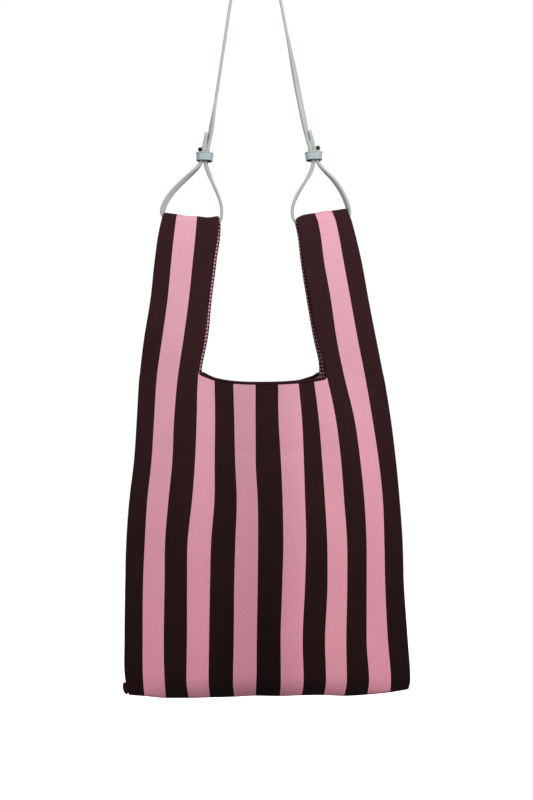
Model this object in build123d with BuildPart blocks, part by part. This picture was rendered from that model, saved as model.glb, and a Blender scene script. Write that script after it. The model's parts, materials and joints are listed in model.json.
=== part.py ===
"""A knitted carrier tote that hangs from a flat leather shoulder strap.

Millimetres. The origin is on the axis of the peg, hook or rail that the strap hangs over.
+Z is up, the front of the bag faces -Y, and +X is to the right seen from the front.
"""

import os
from math import cos, radians, sin, tan

from build123d import *

os.makedirs("parts", exist_ok=True)

# ---- Driving dimensions ------------------------------------------------------------------

KNIT = 1.6                      # thickness of the knitted cloth
BINDING_HEIGHT = 2.4            # depth of the rolled binding along each neckline
SEAM_WIDTH = 5.0                # how far a side seam reaches in from the edge
SEAM_HALF_DEPTH = 2.0           # half the seam's depth, before the panels take their share
SEAM_TOP = -480.0               # the side seams end here, and the handle bands part
BOTTOM = -821.5                 # lowest level of the two panels
BOTTOM_SEAM_BULGE = 1.4         # how much deeper the bottom seam is than the gap it fills
BOTTOM_SEAM_HEIGHT = 2.6
NECK_BLOCK_DEPTH = 40.0         # half depth of the blocks that cut through both panels

SWING_AXIS = -321.0             # level of the strap inside the two handle tops
TUNNEL_RADIUS = 4.8             # room round the strap inside a handle top

STRAP_WIDTH = 6.0
STRAP_THICKNESS = 3.0
PEG_RADIUS = 9.5                # the peg that the strap's top is bent round
LACE_SPACING = 4.3              # centre to centre of the two strands inside a keeper

KEEPER_HEIGHT = 11.0
KEEPER_OUTSIDE = (18.6, 14.0)
KEEPER_INSIDE = (13.8, 9.2)
KEEPER_OFFSET = 0.9             # how far the keeper sits off the strands, towards the stud
KEEPER_ROUNDING = 1.1
KEEPER_OUTER_CORNER = 6.3       # corner radii of the keeper seen from above
KEEPER_INNER_CORNER = 3.864

STUD_HEIGHT = 8.0               # stud above the keeper's middle, along the strands
STUD_BALL_RADIUS = 1.9
STUD_BALL_SET_BACK = 0.84       # from the neck to the ball's middle, in ball radii
STUD_NECK = 0.3                 # bare neck between the strap's face and the ball
STUD_SHANK_RADIUS = 1.0
SCREW_RADIUS = 0.6
SCREW_HEAD_RADIUS = 2.3
SCREW_HEAD_THICKNESS = 0.9
SCREW_DEPTH = 5.0               # how far the screw goes into the stud's shank
HOLE_OVERRUN = 1.0              # how far the stud's hole is cut past the strands' faces
BEND_SHARE = 0.45               # of the shorter straight run, taken up by each bend of the strap

TAB_CENTRE = (-135.2, -813.2)   # the end of the seam yarn, at the lower left corner
TAB_RADII = (2.9, 6.6)
TAB_LEAN = 12
TAB_THICKNESS = 3.0

# Level, left edge, right edge, half the space between the panels at the edges,
# and how much further each panel stands out in the middle.
STATIONS = [
    (SWING_AXIS, -99.5, 104.3, TUNNEL_RADIUS, 0.6),
    (-345.0, -102.8, 109.4, 5.6, 1.5),
    (-390.0, -108.6, 118.6, 5.6, 4.0),
    (-435.0, -114.6, 127.6, 3.8, 7.0),
    (SEAM_TOP, -120.8, 136.6, 0.8, 10.5),
    (-540.0, -124.8, 146.0, 0.8, 14.5),
    (-610.0, -131.0, 153.4, 0.8, 18.0),
    (-690.0, -135.8, 158.2, 0.8, 20.5),
    (-750.0, -136.8, 161.8, 0.8, 21.0),
    (-790.0, -136.4, 164.4, 0.8, 18.0),
    (-808.0, -135.4, 165.2, 0.8, 13.5),
    (-817.0, -134.2, 165.0, 0.8, 8.5),
    (BOTTOM, -132.6, 163.6, 0.8, 4.0),
]

# Neckline of each panel, from the left handle's inner corner to the right one's,
# with the ends of the two inner handle edges above it.
FRONT_NECK = {
    "left_top": (-34.9, -305.0),
    "line": [(-57.9, -479.0), (-40.0, -486.6), (5.0, -491.0), (57.0, -487.6), (76.9, -482.2)],
    "right_bow": (58.5, -400.0),
    "right_top": (43.3, -305.0),
}
BACK_NECK = {
    "left_top": (-34.9, -305.0),
    "line": [(-53.5, -479.0), (-38.0, -487.0), (5.0, -491.4), (54.0, -488.0), (68.0, -478.0)],
    "right_bow": (55.6, -400.0),
    "right_top": (43.3, -305.0),
}

# Top fold of each handle, and the corner cut away below it where the strap comes out.
LEFT_FOLD = (-95.8, -36.9)
RIGHT_FOLD = (45.4, 96.5)
LEFT_RELIEF = [(-95.8, -312.0), (-95.8, -325.5), (-101.5, -331.5), (-101.5, -312.0)]
RIGHT_RELIEF = [(96.5, -312.0), (96.5, -325.0), (106.5, -334.0), (106.5, -312.0)]

# Route of the strap in the plane of the bag, (x, z), from one cut end to the other: the left
# tail, the left handle loop, over the peg, the right handle loop and the right tail.
STRAP_ROUTE = [
    (-49.82, -228.0),
    (-55.84, -260.5),
    (-62.6, -268.6),
    (-73.6, -278.0),
    (-86.6, -291.2),
    (-94.4, -303.2),
    (-99.4, -314.8),
    (-97.0, -319.8),
    (-37.0, -319.8),
    (-33.4, -315.2),
    (-34.0, -304.5),
    (-38.2, -292.5),
    (-46.0, -275.5),
    (-51.47, -260.5),
    (-44.61, -223.5),
    (-9.55, 11.0),
    (9.15, 11.0),
    (53.49, -223.5),
    (63.06, -260.5),
    (58.6, -272.5),
    (51.2, -284.0),
    (43.4, -297.2),
    (40.0, -308.0),
    (40.1, -315.2),
    (44.0, -319.8),
    (97.6, -319.8),
    (100.8, -314.4),
    (98.0, -302.5),
    (92.6, -290.6),
    (84.8, -278.6),
    (74.4, -268.4),
    (67.5, -260.5),
    (58.58, -226.0),
]
PEG_CORNERS = [(-9.55, 11.0), (9.15, 11.0)]

# The two strands side by side inside each keeper: middle of the pair, and lean from upright
# in degrees, positive where the strands lean to +X on their way up.
LEFT_LACE = (-52.45, -254.0)
LEFT_LEAN = 10.5
RIGHT_LACE = (63.6, -254.0)
RIGHT_LEAN = -14.5


# ---- The knitted bag ---------------------------------------------------------------------

def panel_blank(side):
    """One crowned panel over the full height, before its neck is cut: side is -1 at the front."""
    with BuildPart() as blank:
        for level, left, right, gap, crown in STATIONS:
            middle = (left + right) / 2
            inner = side * gap
            outer = side * (gap + KNIT)
            with BuildSketch(Plane.XY.offset(level)):
                with BuildLine():
                    ThreePointArc((left, inner), (middle, inner + side * crown), (right, inner))
                    Line((right, inner), (right, outer))
                    ThreePointArc((right, outer), (middle, outer + side * crown), (left, outer))
                    Line((left, outer), (left, inner))
                make_face()
        loft(ruled=True)
    return blank.part


def neck_opening(neck):
    """The space between the handles, down to the neckline, as a thick cutting block."""
    left_corner = neck["line"][0]
    right_corner = neck["line"][-1]
    with BuildPart() as block:
        with BuildSketch(Plane.XZ):
            with BuildLine():
                Line(neck["left_top"], left_corner)
                Spline(*neck["line"])
                ThreePointArc(right_corner, neck["right_bow"], neck["right_top"])
                Line(neck["right_top"], neck["left_top"])
            make_face()
        extrude(amount=NECK_BLOCK_DEPTH, both=True)
    return block.part


def binding_strip(neck):
    """The strip just under a neckline that the binding takes up, as a thick block."""
    lowered = [(x, z - BINDING_HEIGHT) for x, z in neck["line"]]
    with BuildPart() as block:
        with BuildSketch(Plane.XZ):
            with BuildLine():
                Spline(*neck["line"])
                Line(neck["line"][-1], lowered[-1])
                Spline(*lowered)
                Line(lowered[0], neck["line"][0])
            make_face()
        extrude(amount=NECK_BLOCK_DEPTH, both=True)
    return block.part


def handle_reliefs():
    """The two outer top corners of the handles, where the strap leaves its tunnel."""
    with BuildPart() as corners:
        for outline in (LEFT_RELIEF, RIGHT_RELIEF):
            with BuildSketch(Plane.XZ):
                with BuildLine():
                    Polyline(*outline, close=True)
                make_face()
            extrude(amount=NECK_BLOCK_DEPTH, both=True)
    return corners.part


RELIEFS = handle_reliefs()


def cut_panel(side, neck):
    """A finished panel and the binding along its neckline."""
    blank = panel_blank(side)
    opening = neck_opening(neck)
    strip = binding_strip(neck)
    with BuildPart() as panel:
        add(blank)
        add(opening, mode=Mode.SUBTRACT)
        add(strip, mode=Mode.SUBTRACT)
        add(RELIEFS, mode=Mode.SUBTRACT)
    with BuildPart() as binding:
        add(blank)
        add(strip, mode=Mode.INTERSECT)
    return panel.part, binding.part


def edge_seam(which, panels):
    """The linked seam that closes one side of the bag, from its bottom up to the handle."""
    with BuildPart() as seam:
        for level, left, right, _, _ in STATIONS:
            edge = left if which == "left" else right
            inward = SEAM_WIDTH / 2 if which == "left" else -SEAM_WIDTH / 2
            with BuildSketch(Plane.XY.offset(level)):
                with Locations((edge + inward, 0)):
                    Rectangle(SEAM_WIDTH, 2 * SEAM_HALF_DEPTH)
        loft(ruled=True)
        split(bisect_by=Plane.XY.offset(SEAM_TOP), keep=Keep.BOTTOM)
        for panel in panels:
            add(panel, mode=Mode.SUBTRACT)
    return seam.part


def closing_seam(panels):
    """The seam along the bottom, a slim lens held between the two panels' lower edges."""
    level, left, right, gap, crown = STATIONS[-1]
    middle = (left + right) / 2
    half_depth = gap + crown + BOTTOM_SEAM_BULGE
    with BuildPart() as seam:
        with BuildSketch(Plane.XY.offset(level)):
            with BuildLine():
                ThreePointArc((left + SEAM_WIDTH, 0), (middle, half_depth), (right - SEAM_WIDTH, 0))
                ThreePointArc((right - SEAM_WIDTH, 0), (middle, -half_depth), (left + SEAM_WIDTH, 0))
            make_face()
        extrude(amount=BOTTOM_SEAM_HEIGHT)
        for panel in panels:
            add(panel, mode=Mode.SUBTRACT)
    return seam.part


front_shell, front_edge = cut_panel(-1, FRONT_NECK)
with BuildPart() as front_panel:
    add(front_shell)
with BuildPart() as front_neck_binding:
    add(front_edge)

back_shell, back_edge = cut_panel(1, BACK_NECK)
with BuildPart() as back_panel:
    add(back_shell)
with BuildPart() as back_neck_binding:
    add(back_edge)

both_panels = (front_panel.part, back_panel.part)
with BuildPart() as left_side_seam:
    add(edge_seam("left", both_panels))
with BuildPart() as right_side_seam:
    add(edge_seam("right", both_panels))
with BuildPart() as bottom_seam:
    add(closing_seam(both_panels))

# The end of the seam yarn stands out of the lower left corner as a small rounded tab.
with BuildPart() as corner_tab:
    with BuildSketch(Plane.XZ):
        with Locations(TAB_CENTRE):
            Ellipse(*TAB_RADII, rotation=TAB_LEAN)
    extrude(amount=TAB_THICKNESS / 2, both=True)
    for neighbour in (front_panel, back_panel, left_side_seam, bottom_seam):
        add(neighbour.part, mode=Mode.SUBTRACT)


def handle_fold(span):
    """The seamed top of a handle: half a ring over the strap, joining front and back bands."""
    start, end = span
    outer = TUNNEL_RADIUS + KNIT
    with BuildPart() as fold:
        with BuildSketch(Plane.YZ.offset(start)):
            with BuildLine():
                ThreePointArc((-outer, SWING_AXIS), (0, SWING_AXIS + outer), (outer, SWING_AXIS))
                Line((outer, SWING_AXIS), (TUNNEL_RADIUS, SWING_AXIS))
                ThreePointArc(
                    (TUNNEL_RADIUS, SWING_AXIS),
                    (0, SWING_AXIS + TUNNEL_RADIUS),
                    (-TUNNEL_RADIUS, SWING_AXIS),
                )
                Line((-TUNNEL_RADIUS, SWING_AXIS), (-outer, SWING_AXIS))
            make_face()
        extrude(amount=end - start)
    return fold.part


with BuildPart() as left_handle_top_seam:
    add(handle_fold(LEFT_FOLD))
with BuildPart() as right_handle_top_seam:
    add(handle_fold(RIGHT_FOLD))


# ---- The shoulder strap ------------------------------------------------------------------

def corner_radii(route):
    """For each corner, an arc that takes up an even share of its shorter run. The peg sets its own."""
    radii = []
    for before, corner, after in zip(route, route[1:], route[2:]):
        run_in = Vector(corner) - Vector(before)
        run_out = Vector(after) - Vector(corner)
        turn = run_in.get_angle(run_out)
        shorter = min(run_in.length, run_out.length)
        if corner in PEG_CORNERS:
            radii.append(PEG_RADIUS + STRAP_THICKNESS / 2)
        else:
            radii.append(BEND_SHARE * shorter / tan(radians(turn / 2)))
    return radii


def lace_plane(middle, lean):
    """Frame of the two strands in a keeper: z up along them, x outwards to the tail's side."""
    upward = (sin(radians(lean)), 0, cos(radians(lean)))
    outward_sign = -1 if lean > 0 else 1
    outward = (outward_sign * upward[2], 0, -outward_sign * upward[0])
    return Plane(origin=(middle[0], 0, middle[1]), x_dir=outward, z_dir=upward)


left_lace = lace_plane(LEFT_LACE, LEFT_LEAN)
right_lace = lace_plane(RIGHT_LACE, RIGHT_LEAN)
strap_radii = corner_radii(STRAP_ROUTE)
STRAND_FACE = LACE_SPACING / 2 + STRAP_THICKNESS / 2


def stud_level(lace):
    """Plane through the stud's axis, its x along the stud, out of the tail's face."""
    return lace.offset(STUD_HEIGHT)


with BuildPart() as shoulder_strap:
    with BuildLine(Plane.XZ) as strap_line:
        FilletPolyline(*STRAP_ROUTE, radius=strap_radii)
    strap_start = Plane(
        origin=strap_line.line @ 0,
        x_dir=(0, 1, 0),
        z_dir=strap_line.line % 0,
    )
    with BuildSketch(strap_start):
        Rectangle(STRAP_WIDTH, STRAP_THICKNESS)
    sweep(path=strap_line.line)
    for lace in (left_lace, right_lace):
        level = stud_level(lace)
        across = Plane(origin=level.origin, z_dir=level.x_dir)
        with BuildSketch(across):
            Circle(STUD_SHANK_RADIUS)
        extrude(amount=STRAND_FACE + HOLE_OVERRUN, both=True, mode=Mode.SUBTRACT)

strap_length = strap_line.wire().length
print("strap length", round(strap_length, 1))


# ---- Keepers, studs and their screws -----------------------------------------------------

def keeper_ring(lace):
    """A stiff leather band, bent into a rounded box round both strands."""
    with BuildPart() as ring:
        with BuildSketch(lace.offset(-KEEPER_HEIGHT / 2)):
            with Locations((KEEPER_OFFSET, 0)):
                RectangleRounded(*KEEPER_OUTSIDE, radius=KEEPER_OUTER_CORNER)
                RectangleRounded(*KEEPER_INSIDE, radius=KEEPER_INNER_CORNER, mode=Mode.SUBTRACT)
        extrude(amount=KEEPER_HEIGHT)
        rims = ring.faces().sort_by(Axis(lace.origin, lace.z_dir))
        fillet(rims[0].edges() + rims[-1].edges(), KEEPER_ROUNDING)
    return ring.part


def ball_stud(lace):
    """A turned stud: a hollow shank through both strands and a ball outside the tail."""
    neck_end = STRAND_FACE + STUD_NECK
    ball_middle = neck_end + STUD_BALL_RADIUS * STUD_BALL_SET_BACK
    neck_radius = (STUD_BALL_RADIUS**2 - (ball_middle - neck_end)**2) ** 0.5
    tip = ball_middle + STUD_BALL_RADIUS
    screw_end = -STRAND_FACE + SCREW_DEPTH
    level = stud_level(lace)
    turning_plane = Plane(origin=level.origin, x_dir=level.x_dir, z_dir=level.y_dir)
    with BuildPart() as stud:
        with BuildSketch(turning_plane):
            with BuildLine():
                Polyline(
                    (tip, 0),
                    (screw_end, 0),
                    (screw_end, SCREW_RADIUS),
                    (-STRAND_FACE, SCREW_RADIUS),
                    (-STRAND_FACE, STUD_SHANK_RADIUS),
                    (STRAND_FACE, STUD_SHANK_RADIUS),
                    (STRAND_FACE, neck_radius),
                    (neck_end, neck_radius),
                )
                ThreePointArc((neck_end, neck_radius), (ball_middle, STUD_BALL_RADIUS), (tip, 0))
            make_face()
        revolve(axis=Axis(turning_plane.origin, turning_plane.x_dir))
    return stud.part


def stud_screw(lace):
    """A flat-headed screw from the inner face of the main strand into the stud's shank."""
    level = stud_level(lace)
    turning_plane = Plane(origin=level.origin, x_dir=level.x_dir, z_dir=level.y_dir)
    head = -STRAND_FACE - SCREW_HEAD_THICKNESS
    screw_end = -STRAND_FACE + SCREW_DEPTH
    with BuildPart() as screw:
        with BuildSketch(turning_plane):
            with BuildLine():
                Polyline(
                    (head, 0),
                    (head, SCREW_HEAD_RADIUS),
                    (-STRAND_FACE, SCREW_HEAD_RADIUS),
                    (-STRAND_FACE, SCREW_RADIUS),
                    (screw_end, SCREW_RADIUS),
                    (screw_end, 0),
                    close=True,
                )
            make_face()
        revolve(axis=Axis(turning_plane.origin, turning_plane.x_dir))
    return screw.part


with BuildPart() as left_keeper:
    add(keeper_ring(left_lace))
with BuildPart() as right_keeper:
    add(keeper_ring(right_lace))
with BuildPart() as left_stud:
    add(ball_stud(left_lace))
with BuildPart() as right_stud:
    add(ball_stud(right_lace))
with BuildPart() as left_stud_screw:
    add(stud_screw(left_lace))
with BuildPart() as right_stud_screw:
    add(stud_screw(right_lace))


# ---- Names and files ---------------------------------------------------------------------

front_panel.part.label = "front_panel"
back_panel.part.label = "back_panel"
front_neck_binding.part.label = "front_neck_binding"
back_neck_binding.part.label = "back_neck_binding"
left_side_seam.part.label = "left_side_seam"
right_side_seam.part.label = "right_side_seam"
bottom_seam.part.label = "bottom_seam"
corner_tab.part.label = "corner_tab"
left_handle_top_seam.part.label = "left_handle_top_seam"
right_handle_top_seam.part.label = "right_handle_top_seam"
shoulder_strap.part.label = "shoulder_strap"
left_keeper.part.label = "left_keeper"
right_keeper.part.label = "right_keeper"
left_stud.part.label = "left_stud"
right_stud.part.label = "right_stud"
left_stud_screw.part.label = "left_stud_screw"
right_stud_screw.part.label = "right_stud_screw"

PIECES = [
    front_panel, back_panel, front_neck_binding, back_neck_binding, left_side_seam,
    right_side_seam, bottom_seam, corner_tab, left_handle_top_seam, right_handle_top_seam,
    shoulder_strap, left_keeper, right_keeper, left_stud, right_stud, left_stud_screw,
    right_stud_screw,
]
for piece in PIECES:
    export_step(piece.part, f"parts/{piece.part.label}.step")
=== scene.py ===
"""Looks of a knitted carrier tote on a leather shoulder strap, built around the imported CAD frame.

Metres in the frame's own axes: the origin is on the axis of the peg that the strap hangs over, +Z
is up and the bag's front faces -Y. The cloth's tables are in millimetres, and MM converts them.
"""

import json
from math import cos, exp, pi, radians, sin

import bpy
import numpy as np
from mathutils import Matrix, Vector, noise


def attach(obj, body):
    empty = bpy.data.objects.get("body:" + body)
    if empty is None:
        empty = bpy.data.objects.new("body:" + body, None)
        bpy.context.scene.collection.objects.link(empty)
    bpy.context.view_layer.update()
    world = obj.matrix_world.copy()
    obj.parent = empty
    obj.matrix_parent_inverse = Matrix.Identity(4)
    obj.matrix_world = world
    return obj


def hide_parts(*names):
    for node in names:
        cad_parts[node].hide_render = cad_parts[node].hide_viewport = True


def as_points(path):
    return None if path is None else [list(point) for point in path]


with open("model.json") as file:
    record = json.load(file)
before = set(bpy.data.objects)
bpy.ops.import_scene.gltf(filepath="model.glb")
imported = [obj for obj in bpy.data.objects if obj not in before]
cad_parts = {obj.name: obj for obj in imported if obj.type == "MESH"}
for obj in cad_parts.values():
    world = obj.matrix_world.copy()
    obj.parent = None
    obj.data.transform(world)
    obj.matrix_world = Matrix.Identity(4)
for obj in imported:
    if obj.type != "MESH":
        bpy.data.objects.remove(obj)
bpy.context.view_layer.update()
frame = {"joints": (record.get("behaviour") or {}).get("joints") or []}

MM = 0.001

# ---- Camera ------------------------------------------------------------------------------

CAMERA_AIM = Vector((13.2, 0.0, -509.7)) * MM
VIEW_HEIGHT = 842.4 * MM          # how much the camera sees from top to bottom, at the bag
LENS = 100.0
SENSOR_HEIGHT = 36.0


def make_camera():
    """A level camera in front of the bag, far enough off to look nearly straight on."""
    data = bpy.data.cameras.new("camera")
    data.sensor_fit = "VERTICAL"
    data.sensor_height = SENSOR_HEIGHT
    data.lens = LENS
    camera = bpy.data.objects.new("camera", data)
    distance = VIEW_HEIGHT * LENS / SENSOR_HEIGHT
    camera.location = CAMERA_AIM + Vector((0, -distance, 0))
    camera.rotation_euler = (pi / 2, 0, 0)
    bpy.context.scene.collection.objects.link(camera)
    bpy.context.scene.camera = camera


# ---- Small mesh tools --------------------------------------------------------------------

def smooth_line(points):
    """A function through (position, value) points that bends smoothly and never overshoots."""
    points = sorted(points)
    at = np.array([p for p, _ in points], float)
    value = np.array([v for _, v in points], float)
    run = np.diff(at)
    rise = np.diff(value) / run
    slope = np.zeros(len(at))
    slope[0], slope[-1] = rise[0], rise[-1]
    same_way = rise[:-1] * rise[1:] > 0
    mean = (rise[:-1] * run[1:] + rise[1:] * run[:-1]) / (run[:-1] + run[1:])
    slope[1:-1] = np.where(same_way, mean, 0)

    def evaluate(where):
        where = np.clip(where, at[0], at[-1])
        i = np.clip(np.searchsorted(at, where) - 1, 0, len(run) - 1)
        t = (where - at[i]) / run[i]
        return (
            value[i] * (1 + 2 * t) * (1 - t) ** 2
            + slope[i] * run[i] * t * (1 - t) ** 2
            + value[i + 1] * t * t * (3 - 2 * t)
            - slope[i + 1] * run[i] * t * t * (1 - t)
        )

    return evaluate


def make_object(name, vertices, faces, uvs=None):
    """A smooth-shaded mesh object. uvs, where given, has one (u, v) for each vertex."""
    mesh = bpy.data.meshes.new(name)
    mesh.from_pydata([tuple(v) for v in vertices], [], faces)
    mesh.shade_smooth()
    if uvs is not None:
        layer = mesh.uv_layers.new(name="cloth")
        for loop in mesh.loops:
            layer.data[loop.index].uv = uvs[loop.vertex_index]
    made = bpy.data.objects.new(name, mesh)
    bpy.context.scene.collection.objects.link(made)
    return made


def apply_modifiers(piece):
    """Turns the piece's modifiers into its own mesh."""
    bpy.context.view_layer.update()
    depsgraph = bpy.context.evaluated_depsgraph_get()
    mesh = bpy.data.meshes.new_from_object(
        piece.evaluated_get(depsgraph), preserve_all_data_layers=True, depsgraph=depsgraph
    )
    piece.modifiers.clear()
    piece.data = mesh


def subdivide(piece):
    """One level of Catmull-Clark subdivision, applied."""
    modifier = piece.modifiers.new("subdivision", "SUBSURF")
    modifier.levels = modifier.render_levels = 1
    apply_modifiers(piece)


def skin(rings, loop=False):
    """Faces over a row of equal rings of points, with capped ends or joined into a loop."""
    count = len(rings[0])
    faces = []
    for i in range(len(rings) if loop else len(rings) - 1):
        j = (i + 1) % len(rings)
        for k in range(count):
            n = (k + 1) % count
            faces.append((i * count + k, i * count + n, j * count + n, j * count + k))
    if not loop:
        faces.append(tuple(range(count - 1, -1, -1)))
        last = (len(rings) - 1) * count
        faces.append(tuple(last + k for k in range(count)))
    return faces


def make_tube(name, rings, uvs=None, loop=False):
    """An object skinned over a row of rings."""
    return make_object(name, [point for ring in rings for point in ring], skin(rings, loop), uvs)


def circle(sides):
    """(cosine, sine) at even steps round a circle."""
    return [(cos(2 * pi * step / sides), sin(2 * pi * step / sides)) for step in range(sides)]


def rounded_section(width, height, corner, steps=3):
    """Points round a rounded rectangle, centred, as (across, up), anticlockwise."""
    points = []
    for quarter in range(4):
        sx = 1 if quarter in (0, 3) else -1
        sy = 1 if quarter in (0, 1) else -1
        centre = (sx * (width / 2 - corner), sy * (height / 2 - corner))
        for step in range(steps):
            angle = pi / 2 * (quarter + step / (steps - 1))
            points.append((centre[0] + corner * cos(angle), centre[1] + corner * sin(angle)))
    return points


# ---- Materials ---------------------------------------------------------------------------

class Finish:
    """A material, with short calls that add its nodes."""

    def __init__(self, name):
        self.material = bpy.data.materials.new(name)
        self.material.use_nodes = True
        self.nodes = self.material.node_tree.nodes
        self.links = self.material.node_tree.links
        self.shader = self.nodes["Principled BSDF"]

    def add(self, kind, **inputs):
        """A new node, with values or other nodes' sockets on its inputs."""
        node = self.nodes.new(kind)
        for name, value in inputs.items():
            self.feed(node.inputs[name.replace("_", " ")], value)
        return node

    def feed(self, socket, value):
        """Links a socket or sets a plain value."""
        if isinstance(value, bpy.types.NodeSocket):
            self.links.new(value, socket)
        else:
            socket.default_value = value

    def math(self, operation, *values):
        node = self.nodes.new("ShaderNodeMath")
        node.operation = operation
        for socket, value in zip(node.inputs, values):
            self.feed(socket, value)
        return node.outputs[0]

    def mix(self, share, a, b):
        """Colour a where share is 0 and b where it is 1."""
        node = self.nodes.new("ShaderNodeMix")
        node.data_type = "RGBA"
        self.feed(node.inputs["Factor"], share)
        self.feed(node.inputs[6], a)
        self.feed(node.inputs[7], b)
        return node.outputs[2]

    def noise(self, vector, scale, detail=2.0):
        node = self.add("ShaderNodeTexNoise", Vector=vector, Scale=scale, Detail=detail)
        return node.outputs["Fac"]

    def bump(self, height, distance, strength):
        node = self.add("ShaderNodeBump", Height=height, Distance=distance, Strength=strength)
        self.links.new(node.outputs["Normal"], self.shader.inputs["Normal"])

    def surface(self, roughness, specular):
        self.shader.inputs["Roughness"].default_value = roughness
        self.shader.inputs["Specular IOR Level"].default_value = specular

    def place(self):
        """Coordinates in metres in the frame."""
        return self.nodes.new("ShaderNodeTexCoord").outputs["Object"]

    def cloth(self):
        """(across, along) of the piece's own cloth coordinates."""
        node = self.nodes.new("ShaderNodeUVMap")
        node.uv_map = "cloth"
        split = self.add("ShaderNodeSeparateXYZ", Vector=node.outputs["UV"])
        return split.outputs["X"], split.outputs["Y"]


def colour(red, green, blue):
    """A linear colour from sRGB values of 0 to 255."""
    linear = []
    for value in (red, green, blue):
        value /= 255
        linear.append(value / 12.92 if value <= 0.04045 else ((value + 0.055) / 1.055) ** 2.4)
    return (*linear, 1.0)


BLACK = (0, 0, 0, 1)
PINK = colour(236, 173, 188)
PINK_BOTTOM_SHADE = colour(240, 160, 178)  # painted shade: the pink yarn's deeper colour near the bottom of the bag, where less light falls
DARK = colour(30, 10, 12)
DARK_LIGHT = colour(67, 39, 42)   # the dark yarn's lighter tone: its specks, odd stitches and patches in the knit, and the painted highlight on the bindings' ribs
DARK_BOTTOM_SHADE = 0.42                   # painted shade: brightness of the dark yarn near the bottom
LOW_LEVEL, HIGH_LEVEL = -0.80, -0.42  # between these levels the painted shade on both yarns fades from full to none
STRIPES = 13
STRIPE_RAGGEDNESS = 0.022         # how far a stripe's edge wanders with its stitches, in stripes
WALES = 13                        # stitches across one stripe
COURSE = 0.0015                   # height of a stitch
LIMB_RISE = 0.55                  # how far a stitch's limb climbs to its side, in stitches
STITCH_DEPTH, STITCH_STRENGTH = 0.00035, 0.5
EYES = 10                         # bird's-eye specks across one stripe
EYE_HEIGHT = 0.0023
EYE_DEPTH = 0.30                  # how much darker the cloth is between the specks
STITCH_CHANCE = 0.05              # how much one pink stitch differs from the next
DARK_EYE, DARK_CHANCE, DARK_CLOUD = 0.55, 0.15, 0.2  # what lightens the dark yarn, and how much
CLOUDS = 24.0                     # scale of its slow patches
SHADED_BAND_MIDDLE, SHADED_BAND_WIDTH = 5.9, 2.2    # painted shade: a duller band of the cloth near its middle, counted in stripes
SHADED_BAND_DEPTH = 0.15
SHADED_BAND_DARK = 1.2                   # the band's depth on the dark yarn, against the pink
FOLD_FROM, FOLD_TO = 0.495, 0.505     # painted shade: where the cloth is painted darker towards the turn over the strap
FOLD_SHADE = 0.72
EDGE_SHARE = 0.15                 # the wrong side is plain dark along its outer edges
FLECKS = 8                        # flecks across one stripe on the wrong side
FLECK_HEIGHT = 0.0039             # from one row of flecks to the next
FLECK_START, FLECK_END = 0.06, 0.78   # a fleck's two sides at its foot, as shares of its place
FLECK_NARROWING = 0.6             # how far its far side leans in over a whole row
FLECK_TOP = 0.66                  # its height, as a share of a row
YARN_ROUGHNESS, YARN_SPECULAR = 0.9, 0.08
SHEEN, SHEEN_ROUGHNESS = 0.02, 0.5
RIB_PITCH, RIB_SLANT = 0.0016, 0.6    # of the bindings' ribs
RIB_HEIGHT, FLUFF_HEIGHT, FLUFF_SCALE = 0.4, 0.5, 900.0
GROOVE_LIGHT, RIB_LIGHT = 0.2, 0.35   # how light the bindings are, and how much height adds: a painted highlight on the ribs' tops, painted shade in their grooves
BINDING_DEPTH, BINDING_STRENGTH = 0.0004, 0.7

PATCH_SCALE, PORE_SCALE = 60.0, 1400.0    # of the leather's paler patches and its pores
PORE_SHARE, PORE_HEIGHT = 0.1, 0.4    # of its colour's changes, and against its grain's height
GRAIN_DEPTH, GRAIN_STRENGTH = 0.00004, 0.4
LEATHER_ROUGHNESS, LEATHER_SPECULAR = 0.5, 0.35

# BRASS_DEEP is a painted reflection: its patches stand for dark surroundings mirrored in the stud.
BRASS_WARM, BRASS_DEEP = colour(160, 148, 108), colour(34, 26, 20)
BRASS_ROUGHNESS = 0.25
DARK_REFLECTION_SCALE, SCRATCH_SCALE = 330.0, 2600.0
SCRATCH_DEPTH, SCRATCH_STRENGTH = 0.00003, 0.4


def stitches(finish, across, along):
    """Height of the V stitches, from 0 in the grooves to 1, and a chance value for each."""
    wales = finish.math("MULTIPLY", across, WALES)
    limb = finish.math("SUBTRACT", finish.math("FRACT", wales), 0.5)
    limb = finish.math("MULTIPLY", finish.math("ABSOLUTE", limb), 2.0)
    slanted = finish.math("MULTIPLY_ADD", limb, LIMB_RISE, finish.math("DIVIDE", along, COURSE))
    slanted = finish.math("MULTIPLY_ADD", finish.math("FLOOR", wales), 0.5, slanted)
    strand = finish.math("SINE", finish.math("MULTIPLY", finish.math("FRACT", slanted), pi))
    side = finish.math("SINE", finish.math("MULTIPLY", limb, pi))
    height = finish.math("MULTIPLY", strand, finish.math("MULTIPLY_ADD", side, 0.5, 0.5))
    cell = finish.add("ShaderNodeCombineXYZ", X=finish.math("FLOOR", wales),
                      Y=finish.math("FLOOR", slanted))
    chance = finish.add("ShaderNodeTexWhiteNoise", Vector=cell.outputs[0])
    return height, chance.outputs["Value"]


def dark_share(finish, across, wobble):
    """1 on the dark stripes and 0 on the pink ones. The first one on the left is dark."""
    wobble = finish.math("SUBTRACT", wobble, 0.5)
    shifted = finish.math("MULTIPLY_ADD", wobble, STRIPE_RAGGEDNESS, across)
    half = finish.math("FRACT", finish.math("MULTIPLY", shifted, 0.5))
    return finish.math("LESS_THAN", half, 0.5)


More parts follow.
